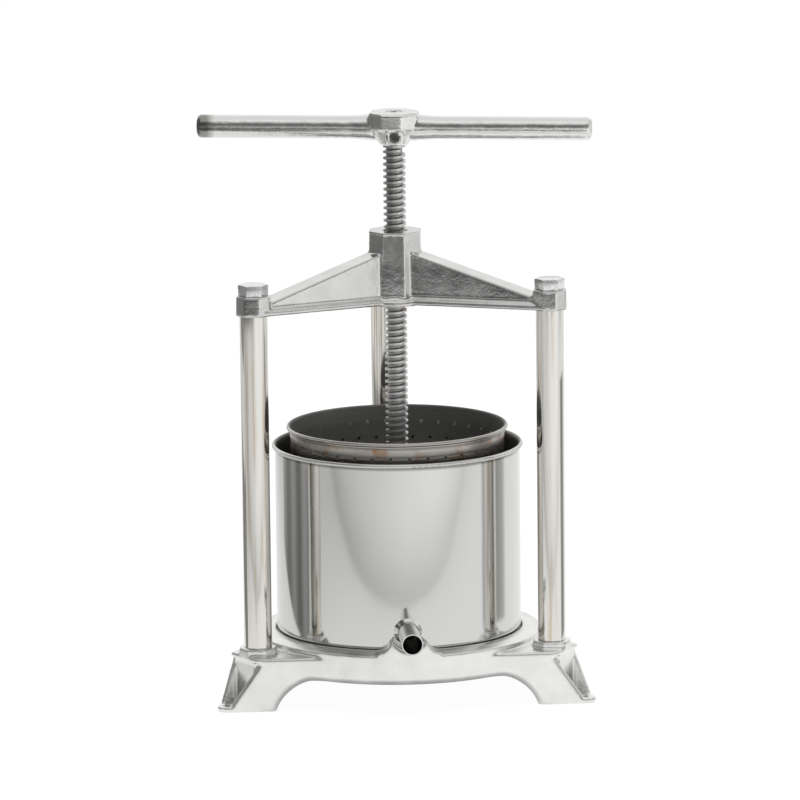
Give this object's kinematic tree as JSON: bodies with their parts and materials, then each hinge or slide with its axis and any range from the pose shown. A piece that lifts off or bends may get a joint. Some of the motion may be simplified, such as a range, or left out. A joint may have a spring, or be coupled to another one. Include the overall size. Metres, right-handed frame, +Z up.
{
  "type": "kitchen press",
  "caption": "Small screw press for fruit: cast base and crosshead joined by columns, a pot with a spout, a perforated basket, and a plate driven down by a T-handled screw.",
  "frame": {"origin": "on the floor under the screw, at the centre of the circle of toe holes", "axes": "+Z up along the screw, -Y towards the spout, +X to the right of someone who faces the spout"},
  "size_m": [0.3116, 0.3205, 0.4649],
  "materials": {
    "cast_aluminium": "polished casting",
    "chromed_steel": "bright chrome",
    "plated_steel": "bright zinc",
    "bronze": "machined",
    "screw_steel": "machined",
    "stainless_sheet": "mirror polished",
    "plate_aluminium": "turned casting"
  },
  "bodies": {
    "frame": {"base_casting": "cast_aluminium", "column_left": "chromed_steel", "column_right": "chromed_steel", "column_rear": "chromed_steel", "column_top_bolts": "plated_steel", "column_foot_bolts": "plated_steel", "crosshead_casting": "cast_aluminium", "screw_nut_bush": "bronze"},
    "pot": {"juice_pot": "stainless_sheet", "spout_pipe": "stainless_sheet"},
    "basket": {"basket_wall": "stainless_sheet", "basket_floor": "stainless_sheet"},
    "plate": {"press_plate": "plate_aluminium", "plate_thrust_washer": "plated_steel"},
    "screw": {"press_screw": "screw_steel", "handle_casting": "cast_aluminium", "handle_set_screw": "plated_steel", "plate_end_washer": "plated_steel", "plate_end_bolt": "plated_steel"}
  },
  "joints": [
    {"name": "pot_lift", "type": "slide", "parent": "frame", "child": "pot", "axis": [0, 0, 1], "range_m": [0, 0.008]},
    {"name": "basket_lift", "type": "slide", "parent": "pot", "child": "basket", "axis": [0, 0, 1], "range_m": [0, 0.008]},
    {"name": "plate_travel", "type": "slide", "parent": "frame", "child": "plate", "axis": [0, 0, 1], "range_m": [-0.0681, 0.1331]},
    {"name": "screw_turn", "type": "hinge", "parent": "plate", "child": "screw", "pos_m": [0, 0, 0.2], "axis": [0, 0, 1], "range_deg": [-4896, 9576]}
  ],
  "couplings": [
    {"joint": "plate_travel", "follows": "screw_turn", "m_per_rad": 0.00079577}
  ]
}
